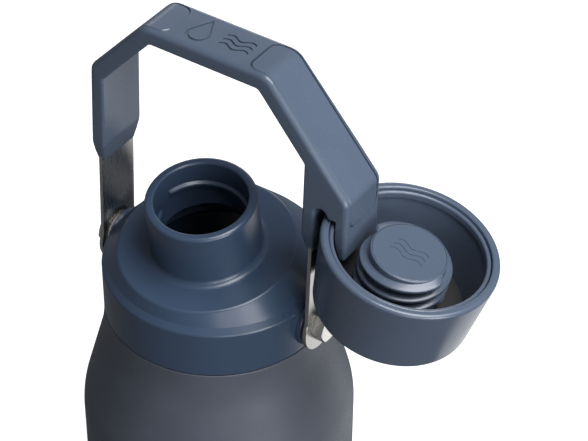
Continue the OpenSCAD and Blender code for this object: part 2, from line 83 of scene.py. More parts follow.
# Lid
COLLAR_Z = 186.1
COLLAR_TOP_Z = 210.1
RING_R = 50
RING_Z = 213
LID_WALL = 3
COLLAR_FOOT_ROUND = 0.5
COLLAR_TOP_ROUND = 2
RING_ROUND = 2.5
SLOPE_IN = 2.6  # above the ring the wall leans inwards by this much
SLOPE_UP = 4  # in this height
SLOPE_STEPS = 6
TIER_R = 40.9
TIER_H = 31.35
TIER_ROUND = 1
TIER_EDGE_STEPS = 5
SPOUT_FORWARD = 2.7
SPOUT_LIFT = 7.2
SPOUT_TILT = 7.8
SPOUT_R = 25.4
SPOUT_BORE_R = 21.2
SPOUT_H = 61.2
SPOUT_OUT_ROUND = 1.7
SPOUT_IN_ROUND = 1.1
SPOUT_FOOT_H = 23
BELL_FOOT_H = 27.6
BELL_TOP_H = 34.6
BELL_R = 27.5
BELL_WALL = 2.5
FILLET_R = 3.2
BOSS_R = 12.6
BOSS_FACE_X = 53.9
BOSS_BACK_X = 49
BOSS_ROUND = 0.9
INSERT_R = 5.5

# Threads of the spout's bore and of the cap's plug. A start is an angle in degrees
THREAD_LEAD = 12
BORE_THREAD_TOP = 11.5
BORE_STARTS = (171, -9)
BORE_RIDGE_H = 1.4
BORE_RIDGE_W = 3.4
BORE_RIDGE_TURNS = 0.45
PLUG_THREAD_TOP = 1.7
PLUG_STARTS = (-2, 178)
PLUG_RIDGE_H = 3.3
PLUG_RIDGE_W = 3.8
PLUG_RIDGE_TURNS = 1.5
RIDGE_STEPS = 72
RIDGE_ROOT = 0.4
RIDGE_FLANK = ((0.5, 0), (0.38, 0.4), (0.24, 0.88), (0.12, 1))  # along by width, out by height

# Pivots
STRAP_X = 55.4
STRAP_T = 2
STRAP_W = 24
STRAP_EDGE = 0.35
EYE_R = 13.4
EYE_BLEND_R = 3
EYE_STEPS = 64
BUSH_R = 5.6
BOLT_HEAD_X = 57.5
BOLT_HEAD_H = 4.8
BOLT_CHAMFER_H = 1.5
BOLT_R = 4
BOLT_ROOT = 0.5
BOLT_THREAD_R = 3
BOLT_END_X = 43.9
BOLT_END_CHAMFER = 0.6
HEX_R = 8.4
HEX_CONE_R = HEX_R * 1.2
HEX_TOP_R = HEX_R * 0.84

# Handle, in its own frame: x from the middle, z above the pivots
HANDLE_TILT = 2.66
HANDLE_H = 132.3
BAR_T = 7.8
BEND_X = 32.3
INNER_BEND_X = 28
SLANT = 48.6
BEND_ROUND = 9
LEG_ROUND = 6
LEG_INNER_X = 52.7
LEFT_LEG_X = 59.8
RIGHT_LEG_X = 58.7
LEG_END_Z = 48.5
LEG_TAPER_H = 11
LEG_END_IN_X = 54.6
LEG_END_OUT_X = 58
LEG_HALF_W = 14
BAR_HALF_W = 13.15
WIDTH_TAPER_H = 36
END_NARROWS_BELOW = 62
END_NARROWING = 0.016
TONGUE_X = 75
TONGUE_TAPER_Z = 60
TONGUE_TIP_Z = 52.4
TONGUE_TIP_OUT_X = 74.3
TONGUE_TIP_IN_X = 71.6
TONGUE_WAIST = (68.8, 65)
SLOT_FOOT = (67.9, 69.6)
SLOT_TOP_Z = 76.2
SLOT_ROUND = 3.2
SLOT_ARCH_START = 40
SLOT_EDGE_R = 1.2
OUTER_EDGE_R = 2.4
INNER_EDGE_R = 1.1
GRIP_CORNER_STEPS = 6
GRIP_LONGEST_EDGE = 5
RIM_STEPS = 4

# Inset covers on the handle
COVER_T = 1.2
COVER_W = 22
COVER_TOP_X = 20.8
COVER_END_Z = 69
COVER_CORNER = 5
COVER_CORNER_STEPS = 6
COVER_PATH_STEPS = 12
COVER_STATION_GAP = 0.5
COVER_EDGE = 0.7
COVER_GAP = 0.25

# Strap ends and screws
STRAP_DEPTH = 3.6
STRAP_BENT_LEN = 25.2
STRAP_PLAY = 0.05
STRAP_LAP = 2
STRAP_HOLE_R = 1.5
SCREW_ALONG = (16, 26)
SCREW_HOLE_R = 1.6
SCREW_HOLE_DEPTH = 6.95
SCREW_HEAD_R = 3.1
SCREW_SEAT_DEPTH = 4.6

# Motifs: a drop and waves on the bar, waves on the plug's disc
DROP_H = 18
DROP_INNER = 0.8
DROP_ROUND = 0.31
DROP_STEPS = 28
MOTIF_STEP = 9
MOTIF_DEPTH = 0.7
WAVE_COUNT = 1.5
WAVE_STEPS = 24
WAVE_W = 15
WAVE_RISE = 1.1
WAVE_T = 1.1
WAVE_PITCH = 3.4
DISC_MOTIF_DEPTH = 0.25
DISC_WAVE_W = 16
DISC_WAVE_RISE = 1.0
DISC_WAVE_T = 0.5
DISC_WAVE_PITCH = 3.2

# Cap, in its own frame: rim at z = 0, open end up
CAP_X = 99.6
CAP_Z = 64.3
CAP_TILT = 11.74
CAP_R = 39.75
CAP_END_R = 35
CAP_DEPTH = 38.5
CAP_WALL = 3.8
CAP_END_T = 2.2
CAP_FLOOR = 31
CAP_PLAY = 0.4
LINER_GAP = 0.2
LINER_WALL = 2
LINER_TOP = 1
LINER_FLOOR_T = 2
LINER_HOLE_R = 13.2
LIP_DEPTH = 3.2
LIP_DRAFT = 0.2
LIP_STEP = 0.9
LIP_STEP_H = 0.4
PLUG_R = 17.2
PLUG_TOP = 3.1
PLUG_WALL = 2.4
PLUG_BEVEL = 0.6
PLUG_DISC_R = 16.5
PLUG_DISC_T = 1.6
PLUG_DISC_GAP = 0.1
PLUG_DISC_ROUND = 0.3
GASKET_T = 1.55
GASKET_LIFT = 0.05
GASKET_PLUG_GAP = 1.2
GASKET_WALL_GAP = 4.7

# Studio, in metres
FLOOR_HALF = 3.0
FLOOR_CELLS = 24
FLOOR_COLOUR = (0.42, 0.42, 0.42)
FLOOR_GLOW = 0.8
WORLD_COLOUR = (0.92, 0.95, 1.0)
WORLD_STRENGTH = 0.17

# The part of a noise's range that is used
NOISE_LOW = 0.3
NOISE_HIGH = 0.7


# Frames ------------------------------------------------------------------


def moved(x, y, z):
    """A shift, as a matrix."""
    return Matrix.Translation((x, y, z))


def turned(degrees, axis):
    """A turn about one axis, as a matrix."""
    return Matrix.Rotation(math.radians(degrees), 4, axis)


def pivot_height():
    """Height of the handle's hinge, from the frame."""
    swing = next(j for j in frame["joints"] if j["name"] == "handle_swing")
    return swing["pos_m"][2] / MM


WORLD = Matrix.Identity(4)
PIVOT_Z = pivot_height()
SPOUT = moved(0, -SPOUT_FORWARD, SEAM_Z + SPOUT_LIFT) @ turned(SPOUT_TILT, "X")
HANDLE = moved(0, 0, PIVOT_Z) @ turned(-HANDLE_TILT, "X")
CAP = HANDLE @ moved(CAP_X, 0, CAP_Z) @ turned(CAP_TILT, "Y")
MIRROR_X = Matrix.Scale(-1, 4, (1, 0, 0))


# Outlines ----------------------------------------------------------------


def arc(centre, radius, start, end, steps=8):
    """Points on an arc between two angles in degrees."""
    points = []
    for i in range(steps + 1):
        angle = math.radians(start + (end - start) * i / steps)
        points.append((centre[0] + radius * math.cos(angle), centre[1] + radius * math.sin(angle)))
    return points


def fillet(before, corner, after, radius, steps):
    """Points that round one corner."""
    here = Vector(corner)
    to_before = (Vector(before) - here).normalized()
    to_after = (Vector(after) - here).normalized()
    half = to_before.angle(to_after) / 2
    centre = here + (to_before + to_after).normalized() * (radius / math.sin(half))
    reach = radius / math.tan(half)
    start = (here + to_before * reach - centre).normalized()
    end = (here + to_after * reach - centre).normalized()
    return [tuple(centre + start.slerp(end, i / steps) * radius) for i in range(steps + 1)]


def rounded(corners, steps=5, closed=True):
    """An outline from corners (x, y, radius, *rest); each point keeps the rest of its corner."""
    points = []
    last = len(corners) - 1
    for i, (x, y, radius, *rest) in enumerate(corners):
        if radius == 0 or (not closed and i in (0, last)):
            points.append((x, y, *rest))
            continue
        before = corners[i - 1][:2]
        after = corners[(i + 1) % len(corners)][:2]
        points += [(*p, *rest) for p in fillet(before, (x, y), after, radius, steps)]
    return points


def subdivided(points, longest):
    """A closed outline with no edge longer than `longest`."""
    made = []
    for i, point in enumerate(points):
        after = points[(i + 1) % len(points)]
        cuts = max(1, math.ceil(math.dist(point[:2], after[:2]) / longest))
        for k in range(cuts):
            made.append(tuple(a + (b - a) * k / cuts for a, b in zip(point, after)))
    return made


def anticlockwise(points, wanted):
    """The outline, anticlockwise if wanted and clockwise if not."""
    area = 0
    for i, point in enumerate(points):
        area += points[i - 1][0] * point[1] - point[0] * points[i - 1][1]
    return points if (area > 0) == wanted else points[::-1]


# Meshes ------------------------------------------------------------------


def dress_mesh(mesh):
    """Outward normals, and smooth shading with its sharp edges kept."""
    work = bmesh.new()
    work.from_mesh(mesh)
    bmesh.ops.remove_doubles(work, verts=work.verts, dist=2e-7)
    bmesh.ops.recalc_face_normals(work, faces=work.faces)
    for face in work.faces:
        face.smooth = True
    work.to_mesh(mesh)
    work.free()
    mesh.set_sharp_from_angle(angle=SHARP_ANGLE)


def solid(name, points, faces, place=WORLD):
    """A mesh object from points in millimetres that are given in the frame `place`."""
    mesh = bpy.data.meshes.new(name)
    mesh.from_pydata([place @ Vector(p) * MM for p in points], [], faces)
    obj = bpy.data.objects.new(name, mesh)
    bpy.context.scene.collection.objects.link(obj)
    dress_mesh(mesh)
    return obj


def looped(name, rings, place=WORLD):
    """A closed solid through rings of the same number of points; a ring of one point closes an end."""
    points = []
    starts = []
    for ring in rings:
        starts.append(len(points))
        points += ring
    faces = []
    for i, ring in enumerate(rings):
        after = rings[(i + 1) % len(rings)]
        a, b = starts[i], starts[(i + 1) % len(rings)]
        for k in range(max(len(ring), len(after))):
            k2 = (k + 1) % max(len(ring), len(after))
            if len(ring) == len(after) == 1:
                continue
            if len(ring) == 1:
                faces.append((a, b + k2, b + k))
            elif len(after) == 1:
                faces.append((a + k, a + k2, b))
            else:
                faces.append((a + k, a + k2, b + k2, b + k))
    return solid(name, points, faces, place)


def circle(radius, z, count=SEGMENTS):
    """A ring of points about the Z axis, or one point on it."""
    if radius < 1e-6:
        return [(0, 0, z)]
    turn = 2 * math.pi / count
    return [(radius * math.cos(k * turn), radius * math.sin(k * turn), z) for k in range(count)]


def revolved(name, outline, place=WORLD, count=SEGMENTS):
    """A solid made by turning a closed outline of (radius, height) about the Z axis."""
    return looped(name, [circle(p[0], p[1], count) for p in outline], place)


def inward(points):
    """For each point of an outline, the direction into the material, long enough to keep edges parallel."""
    made = []
    for i, point in enumerate(points):
        here = Vector(point[:2])
        into = (here - Vector(points[i - 1][:2])).normalized().orthogonal()
        out = (Vector(points[(i + 1) % len(points)][:2]) - here).normalized().orthogonal()
        made.append((into + out) / (1 + into.dot(out)))
    return made


def face_fill(rings, index):
    """Triangles between an outline and one round hole, whose points are (x, z), as point indices."""
    flat, edges = [], []
    for ring in rings:
        start = len(flat)
        flat += [Vector(p) for p in ring]
        edges += [(start + k, start + (k + 1) % len(ring)) for k in range(len(ring))]
    _, _, faces, originals, _, _ = delaunay_2d_cdt(flat, edges, [], 1, 1e-5)
    first_of_hole = len(rings[0])
    kept = []
    for face in faces:
        corners = [originals[v][0] for v in face]
        if min(corners) < first_of_hole:
            kept.append(tuple(index[v] for v in corners))
    return kept


def side_faces(first, levels, count):
    """Quads between neighbouring rings of `count` points, from point number `first` on."""
    faces = []
    for level in range(levels - 1):
        a = first + level * count
        for k in range(count):
            k2 = (k + 1) % count
            faces.append((a + k, a + k2, a + count + k2, a + count + k))
    return faces


def slab(name, loops, half_width, place):
    """A plate drawn in x and z and centred on y = 0. Its first loop is the outline and the rest are holes.
    A loop's point is (x, z, edge); edge is the radius of its rounded rim. half_width is a function of z."""
    points, faces, ends = [], [], {-1: [], 1: []}
    levels = [(-1, k) for k in range(RIM_STEPS, -1, -1)] + [(1, k) for k in range(RIM_STEPS + 1)]
    for number, loop in enumerate(loops):
        loop = anticlockwise(loop, number == 0)
        normals = inward(loop)
        count = len(loop)
        first = len(points)
        for side, k in levels:
            angle = math.pi / 2 * k / RIM_STEPS
            for (x, z, edge), normal in zip(loop, normals):
                shift = normal * edge * (1 - math.cos(angle))
                height = z + shift.y
                y = half_width(height) - edge * (1 - math.sin(angle))
                points.append((x + shift.x, side * y, height))
        faces += side_faces(first, len(levels), count)
        ends[-1].append(range(first, first + count))
        ends[1].append(range(len(points) - count, len(points)))
    for side in ends:
        rings = [[(points[i][0], points[i][2]) for i in ring] for ring in ends[side]]
        faces += face_fill(rings, [i for ring in ends[side] for i in ring])
    return solid(name, points, faces, place)


def prism(name, points, count, place):
    """A solid between two like outlines of `count` points."""
    faces = [tuple(range(count)), tuple(range(count, 2 * count))]
    faces += [(k, (k + 1) % count, count + (k + 1) % count, count + k) for k in range(count)]
    return solid(name, points, faces, place)


def ridge(name, radius, height, width, turns, place, start, fade=3):
    """A helical ridge on a round wall, descending clockwise from above; a negative height points inwards."""
    count = round(RIDGE_STEPS * turns)
    root = radius - math.copysign(RIDGE_ROOT, height)
    rings = []
    for i in range(count + 1):
        angle = math.radians(start) - 2 * math.pi * i / RIDGE_STEPS
        z = -THREAD_LEAD * i / RIDGE_STEPS
        grown = min(1, (i + 0.5) / fade, (count - i + 0.5) / fade)
        section = [(root, -width / 2)]
        section += [(radius + height * grown * rise, -width * along) for along, rise in RIDGE_FLANK]
        section += [(r, -h) for r, h in section[::-1]]
        rings.append([(r * math.cos(angle), r * math.sin(angle), z + h) for r, h in section])
    points = [p for ring in rings for p in ring]
    sides = len(rings[0])
    faces = [tuple(range(sides)), tuple(range(len(points) - sides, len(points)))]
    faces += side_faces(0, len(rings), sides)
    return solid(name, points, faces, place)


def combined(target, others, operation):
    """Cuts the others from the target, or unites them with it, and removes them."""
    for other in others:
        modifier = target.modifiers.new("combine", "BOOLEAN")
        modifier.operation = operation
        modifier.solver = "EXACT"
        modifier.object = other
    bpy.context.view_layer.update()
    shown = target.evaluated_get(bpy.context.evaluated_depsgraph_get())
    mesh = bpy.data.meshes.new_from_object(shown)
    target.modifiers.clear()
    target.data = mesh
    for other in others:
        bpy.data.objects.remove(other)
    dress_mesh(mesh)


def place_piece(obj, body, material, slot, *nodes):
    """Gives a finished piece its material and its body, and hides the CAD nodes that it stands for."""
    obj.data.materials.clear()
    obj.data.materials.append(material)
    weighted = obj.modifiers.new("weighted_normals", "WEIGHTED_NORMAL")
    weighted.keep_sharp = True
    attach(obj, body)
    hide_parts(*nodes)


# Materials ---------------------------------------------------------------


def new_material(name):
    """An empty node material: (material, node maker, links, shader)."""
    material = bpy.data.materials.new(name)
    material.use_nodes = True
    tree = material.node_tree
    shader = tree.nodes["Principled BSDF"]
    return material, tree.nodes.new, tree.links.new, shader


def grain(make, link, scale, detail=3, stretch=(1, 1, 1)):
    """Noise in the object's own coordinates; scale is in features per metre."""
    place = make("ShaderNodeTexCoord")
    mapping = make("ShaderNodeMapping")
    mapping.inputs["Scale"].default_value = stretch
    noise = make("ShaderNodeTexNoise")
    noise.inputs["Scale"].default_value = scale
    noise.inputs["Detail"].default_value = detail
    link(place.outputs["Object"], mapping.inputs["Vector"])
    link(mapping.outputs["Vector"], noise.inputs["Vector"])
    return noise.outputs["Fac"]


def spread(make, link, source, low, high):
    """Maps the middle of a noise to a range."""
    mapped = make("ShaderNodeMapRange")
    mapped.inputs["From Min"].default_value = NOISE_LOW
    mapped.inputs["From Max"].default_value = NOISE_HIGH
    mapped.inputs["To Min"].default_value = low
    mapped.inputs["To Max"].default_value = high
    link(source, mapped.inputs["Value"])
    return mapped.outputs["Result"]


def shaded_colour(make, link, source, colour, change):
    """A colour that varies by `change` either way with the source."""
    ramp = make("ShaderNodeValToRGB")
    dark, light = ramp.color_ramp.elements
    dark.position = NOISE_LOW
    dark.color = (*(c * (1 - change) for c in colour), 1)
    light.position = NOISE_HIGH
    light.color = (*(c * (1 + change) for c in colour), 1)
    link(source, ramp.inputs["Fac"])
    return ramp.outputs["Color"]


def bumped(make, link, shader, source, strength, depth):
    """Bump from a source; depth is in metres."""
    bump = make("ShaderNodeBump")
    bump.inputs["Strength"].default_value = strength
    bump.inputs["Distance"].default_value = depth
    link(source, bump.inputs["Height"])
    link(bump.outputs["Normal"], shader.inputs["Normal"])


def powder_coat():
    """Matte powder coat: fine pebbled grain with a slight sparkle."""
    material, make, link, shader = new_material("powder_coat")
    patches = grain(make, link, scale=60, detail=4)
    pebbles = grain(make, link, scale=1500)
    colour = shaded_colour(make, link, patches, (0.056, 0.066, 0.088), change=0.06)
    link(colour, shader.inputs["Base Color"])
    link(spread(make, link, pebbles, low=0.38, high=0.62), shader.inputs["Roughness"])
    bumped(make, link, shader, pebbles, strength=0.35, depth=0.00012)
    return material


def moulded(name, colour, roughness):
    """Satin moulded plastic with a faint spark-eroded texture."""
    material, make, link, shader = new_material(name)
    patches = grain(make, link, scale=35)
    texture = grain(make, link, scale=2600, detail=2)
    link(shaded_colour(make, link, patches, colour, change=0.04), shader.inputs["Base Color"])
    link(spread(make, link, patches, roughness - 0.03, roughness + 0.05), shader.inputs["Roughness"])
    bumped(make, link, shader, texture, strength=0.06, depth=0.00004)
    return material


def brushed(name, colour, roughness, stretch):
    """Metal brushed along the direction in which stretch is small."""
    material, make, link, shader = new_material(name)
    lines = grain(make, link, scale=2600, detail=4, stretch=stretch)
    link(shaded_colour(make, link, lines, colour, change=0.12), shader.inputs["Base Color"])
    link(spread(make, link, lines, roughness - 0.06, roughness + 0.08), shader.inputs["Roughness"])
    bumped(make, link, shader, lines, strength=0.08, depth=0.00004)
    shader.inputs["Metallic"].default_value = 1
    return material


def soft_rubber():
    """Matte black silicone."""
    material, make, link, shader = new_material("silicone")
    texture = grain(make, link, scale=900)
    colour = shaded_colour(make, link, texture, (0.012, 0.012, 0.013), change=0.2)
    link(colour, shader.inputs["Base Color"])
    link(spread(make, link, texture, low=0.5, high=0.65), shader.inputs["Roughness"])
    bumped(make, link, shader, texture, strength=0.1, depth=0.00005)
    return material


def foamed():
    """Coarse yellowish foam."""
    material, make, link, shader = new_material("foam")
    cells = grain(make, link, scale=700, detail=5)
    link(shaded_colour(make, link, cells, (0.82, 0.79, 0.66), change=0.1), shader.inputs["Base Color"])
    bumped(make, link, shader, cells, strength=0.6, depth=0.0003)
    shader.inputs["Roughness"].default_value = 0.9
    return material


COAT = powder_coat()
NAVY = moulded("navy_plastic", (0.028, 0.047, 0.084), roughness=0.30)
SLATE = moulded("slate_plastic", (0.062, 0.083, 0.122), roughness=0.26)
STRAP_STEEL = brushed("strap_steel", (0.46, 0.45, 0.43), roughness=0.26, stretch=(1, 1, 0.02))
BRIGHT_STEEL = brushed("bright_steel", (0.66, 0.65, 0.62), roughness=0.20, stretch=(1, 0.2, 1))
VESSEL_STEEL = brushed("vessel_steel", (0.50, 0.50, 0.49), roughness=0.34, stretch=(1, 1, 0.05))
BRASS = brushed("turned_brass", (0.70, 0.50, 0.20), roughness=0.28, stretch=(0.1, 1, 1))
NYLON = moulded("nylon", (0.78, 0.78, 0.72), roughness=0.45)
SILICONE = soft_rubber()
FOAM = foamed()


# Bottle ------------------------------------------------------------------


def shoulder(inset):
    """The bottle's side from the body up to the seam, moved inwards."""
    slope = math.radians(SHOULDER_SLOPE)
    both = SHOULDER_TOP_R + SHOULDER_FOOT_R
    straight_dx = BODY_R - COLLAR_R - both * (1 - math.cos(slope))
    foot_z = SEAM_Z - both * math.sin(slope) - straight_dx / math.tan(slope)
    foot = arc((BODY_R - SHOULDER_FOOT_R, foot_z), SHOULDER_FOOT_R - inset, 0, SHOULDER_SLOPE, SHOULDER_STEPS)
    top = arc((COLLAR_R + SHOULDER_TOP_R, SEAM_Z), SHOULDER_TOP_R + inset,
              180 + SHOULDER_SLOPE, 180 + SHOULDER_END_SLOPE, SHOULDER_STEPS)
    return foot + top


def make_bottle():
    """The coated outer wall: up the outside, over the rim and down the inside."""
    outside = [(FOOT_RING_R, 0)]
    outside += arc((BODY_R - FOOT_R, FOOT_R), FOOT_R, -90, 0)
    outside += shoulder(0)
    outside += arc((COLLAR_R - SEAM_ROUND, RIM_Z - SEAM_ROUND), SEAM_ROUND, 0, 90, 5)
    outside += [(MOUTH_R, RIM_Z)]
    inside = [(FOOT_RING_R, STEEL_T)]
    inside += arc((BODY_R - FOOT_R, FOOT_R), FOOT_R - STEEL_T, -90, 0)
    inside += shoulder(STEEL_T)
    inside += [(COLLAR_R - STEEL_T, RIM_Z - STEEL_T), (MOUTH_R, RIM_Z - STEEL_T)]
    shell = revolved("bottle_shell", outside + inside[::-1], count=LARGE_SEGMENTS)
    place_piece(shell, "bottle", COAT, "coat", "outer_shell")


# Lid ---------------------------------------------------------------------


def between(ring, after, share):
    """A ring part of the way from one ring to another."""
    return [tuple(a + (b - a) * share for a, b in zip(p, q)) for p, q in zip(ring, after)]


def in_world(place, ring):
    """A ring given in another frame, in world axes."""
    return [tuple(place @ Vector(p)) for p in ring]


def lid_rings():
    """Rings of the lid's wall: up the outside, over the rim, down the bore and back under the top."""
    wall = rounded([
        (COLLAR_R - LID_WALL, COLLAR_Z, 0),
        (COLLAR_R, COLLAR_Z, COLLAR_FOOT_ROUND),
        (COLLAR_R, COLLAR_TOP_Z, COLLAR_TOP_ROUND),
        (RING_R, RING_Z, RING_ROUND),
        (RING_R - SLOPE_IN, RING_Z + SLOPE_UP, 0),
    ], closed=False)[:-1]
    rings = [circle(r, z) for r, z in wall]
    tier_edge = in_world(SPOUT, circle(TIER_R, TIER_H))
    on_tier = in_world(SPOUT, circle(TIER_R - TIER_ROUND, TIER_H))
    ring = rings[-1]
    near_edge = [tuple(Vector(p).lerp(q, 1 - TIER_ROUND / math.dist(p, q))) for p, q in zip(ring, tier_edge)]
    rings += [between(ring, near_edge, k / SLOPE_STEPS) for k in range(1, SLOPE_STEPS)]
    for k in range(TIER_EDGE_STEPS + 1):
        share = k / TIER_EDGE_STEPS
        rings.append(between(between(near_edge, tier_edge, share), between(tier_edge, on_tier, share), share))
    top = arc((SPOUT_R + FILLET_R, TIER_H + FILLET_R), FILLET_R, 270, 180)
    top += rounded([
        (SPOUT_R, TIER_H + FILLET_R, 0),
        (SPOUT_R, SPOUT_H, SPOUT_OUT_ROUND),
        (SPOUT_BORE_R, SPOUT_H, SPOUT_IN_ROUND),
        (SPOUT_BORE_R, BELL_TOP_H, 0),
    ], closed=False)[1:]
    tube_r = BELL_R + BELL_WALL
    top += [(BELL_R, BELL_FOOT_H), (BELL_R, SPOUT_FOOT_H)]
    top += [(tube_r, SPOUT_FOOT_H), (tube_r, TIER_H - LID_WALL)]
    top += [(TIER_R - LID_WALL, TIER_H - LID_WALL)]
    rings += [in_world(SPOUT, circle(r, z)) for r, z in top]
    rings += [circle(RING_R - LID_WALL, RING_Z - LID_WALL), circle(COLLAR_R - LID_WALL, RING_Z - LID_WALL)]
    return rings


def pivot_axis(side):
    """A frame on one pivot, with its z axis outwards."""
    return moved(0, 0, PIVOT_Z) @ turned(90 * side, "Y")


def make_lid():
    """The lid's wall with its two pivot bosses and the spout's inner thread."""
    boss = rounded([
        (0, BOSS_BACK_X, 0),
        (BOSS_R, BOSS_BACK_X, 0),
        (BOSS_R, BOSS_FACE_X, BOSS_ROUND),
        (0, BOSS_FACE_X, 0),
    ])
    low = BOSS_BACK_X - PAST
    high = BOSS_FACE_X + PAST
    pocket = [(0, low), (INSERT_R, low), (INSERT_R, high), (0, high)]
    bosses = [revolved("boss", boss, pivot_axis(side), BOSS_SEGMENTS) for side in (1, -1)]
    pockets = [revolved("pocket", pocket, pivot_axis(side), SMALL_SEGMENTS) for side in (1, -1)]
    thread_top = SPOUT @ moved(0, 0, SPOUT_H - BORE_THREAD_TOP)
    shape = (SPOUT_BORE_R, -BORE_RIDGE_H, BORE_RIDGE_W, BORE_RIDGE_TURNS)
    threads = [ridge("thread", *shape, thread_top, start, fade=1) for start in BORE_STARTS]
    lid = looped("lid_body", lid_rings())
    combined(lid, bosses + threads, "UNION")
    combined(lid, pockets, "DIFFERENCE")
    place_piece(lid, "lid", NAVY, "navy_plastic", "lid_shell")


# Handle ------------------------------------------------------------------


def slant_z(x):
    """Height of the handle's outer slanting face."""
    return HANDLE_H - (x - BEND_X) * math.tan(math.radians(SLANT))


def inner_slant_z(x):
    """Height of the handle's inner slanting face."""
    return HANDLE_H - BAR_T - (x - INNER_BEND_X) * math.tan(math.radians(SLANT))


def grip_half_width(z):
    """Half the grip's width at a height: a little less on the bar and at the lower ends."""
    taper = min(1, max(0, (z - HANDLE_H + WIDTH_TAPER_H) / WIDTH_TAPER_H))
    drop = max(0, END_NARROWS_BELOW - z)
    return LEG_HALF_W - (LEG_HALF_W - BAR_HALF_W) * taper - END_NARROWING * drop * drop


def leg_corners(outer_x):
    """Corners of one leg as (x, z, corner radius, rim edge): down the outside, round the end and up again."""
    return [
        (outer_x, LEG_END_Z + LEG_TAPER_H, 15, 1.6),
        (LEG_END_OUT_X, LEG_END_Z, 1.6, 1.0),
        (LEG_END_IN_X, LEG_END_Z, 1.2, 0.9),
        (LEG_INNER_X, LEG_END_Z + LEG_TAPER_H, 15, INNER_EDGE_R),
        (LEG_INNER_X, inner_slant_z(LEG_INNER_X), 2, INNER_EDGE_R),
        (INNER_BEND_X, HANDLE_H - BAR_T, 3, INNER_EDGE_R),
    ]


def hook_corners():
    """Corners of the tongue in the same form, then the slot's arch, as far as the top of the leg."""
    tongue = [
        (TONGUE_X, slant_z(TONGUE_X), LEG_ROUND, OUTER_EDGE_R),
        (TONGUE_X, TONGUE_TAPER_Z, 12, 2.0),
        (TONGUE_TIP_OUT_X, TONGUE_TIP_Z, 1.3, 0.9),
        (TONGUE_TIP_IN_X, TONGUE_TIP_Z, 1.2, 0.9),
        (*TONGUE_WAIST, 12, 1.1),
        (*SLOT_FOOT, 2, SLOT_EDGE_R),
    ]
    centre = (RIGHT_LEG_X + SLOT_ROUND, SLOT_TOP_Z - SLOT_ROUND)
    return tongue + [(x, z, 0, SLOT_EDGE_R) for x, z in arc(centre, SLOT_ROUND, SLOT_ARCH_START, 180)]


def grip_outline():
    """The handle's outline in x and z, with the radius of its rim edge at each point."""
    right = [(BEND_X, HANDLE_H, BEND_ROUND, OUTER_EDGE_R)] + hook_corners() + leg_corners(RIGHT_LEG_X)
    left = [(BEND_X, HANDLE_H, BEND_ROUND, OUTER_EDGE_R)]
    left += [(LEFT_LEG_X, slant_z(LEFT_LEG_X), LEG_ROUND, OUTER_EDGE_R)]
    left += leg_corners(LEFT_LEG_X)
    left = [(-x, *rest) for x, *rest in left[::-1]]
    return subdivided(rounded(right + left, GRIP_CORNER_STEPS), GRIP_LONGEST_EDGE)


def surface_path(outer_x, extra):
    """The handle's outer surface under a cover: (length so far, point, outward normal) at each step."""
    line = rounded([
        (COVER_TOP_X - extra, HANDLE_H, 0),
        (BEND_X, HANDLE_H, BEND_ROUND),
        (outer_x, slant_z(outer_x), LEG_ROUND),
        (outer_x, COVER_END_Z - extra, 0),
    ], COVER_PATH_STEPS, closed=False)
    points = [Vector(p) for p in line]
    steps = [(b - a).normalized() for a, b in zip(points, points[1:])]
    made, length = [], 0
    for i, point in enumerate(points):
        along = steps[max(0, i - 1)] + steps[min(i, len(steps) - 1)]
        if i:
            length += (point - points[i - 1]).length
        made.append((length, point, along.normalized().orthogonal()))
    return made


def on_path(path, length, y, depth):
    """The point a length along the path, y to the side and depth under the surface."""
    length = min(max(length, 0), path[-1][0])
    after = next(i for i in range(1, len(path)) if length <= path[i][0] + 1e-9)
    (a, point_a, normal_a), (b, point_b, normal_b) = path[after - 1], path[after]
    share = (length - a) / (b - a)
    point = point_a.lerp(point_b, share) - normal_a.lerp(normal_b, share).normalized() * depth
    return (point.x, y, point.y)


def cover_corner(half, corner, edge):
    """Stations round a cover's corner: how far along and across, at the plate's side and at its face."""
    face_corner = corner - edge
    stations = []
    for k in range(COVER_CORNER_STEPS + 1):
        angle = math.pi / 2 * k / COVER_CORNER_STEPS
        stations.append((
            corner - corner * math.cos(angle),
            half - corner + corner * math.sin(angle),
            corner - face_corner * math.cos(angle),
            half - corner + face_corner * math.sin(angle),
        ))
    return stations


def cover_plate(name, outer_x, place, grow=0, lift=0, edge=0):
    """A plate bent over the handle's outer surface, with rounded corners.
    `grow` is added all round, `lift` raises its face off the surface, and `edge` is its bevel."""
    path = surface_path(outer_x, grow)
    total = path[-1][0]
    half = COVER_W / 2 + grow
    corner = COVER_CORNER + grow

    def section(along, across, face_along, face_across):
        side = [(along, across, COVER_T + grow / 2), (along, across, edge), (face_along, face_across, -lift)]
        both = side + [(s, -y, depth) for s, y, depth in side[::-1]]
        return [on_path(path, s, y, depth) for s, y, depth in both]

    ends = cover_corner(half, corner, edge)
    margin = corner + COVER_STATION_GAP
    middle = [length for length, _, _ in path if margin < length < total - margin]
    rings = [section(*end) for end in ends]
    rings += [section(length, half, length, half - edge) for length in middle]
    rings += [section(total - a, w, total - b, v) for a, w, b, v in ends[::-1]]
    points = [p for ring in rings for p in ring]
    count = len(rings[0])
    faces = side_faces(0, len(rings), count)
    for a in (0, len(points) - count):
        faces += [(a, a + 1, a + 4, a + 5), (a + 1, a + 2, a + 3, a + 4)]
    return solid(name, points, faces, place)


def handle_side(side):
    """The handle's frame, mirrored for the left side."""
    return HANDLE if side > 0 else HANDLE @ MIRROR_X


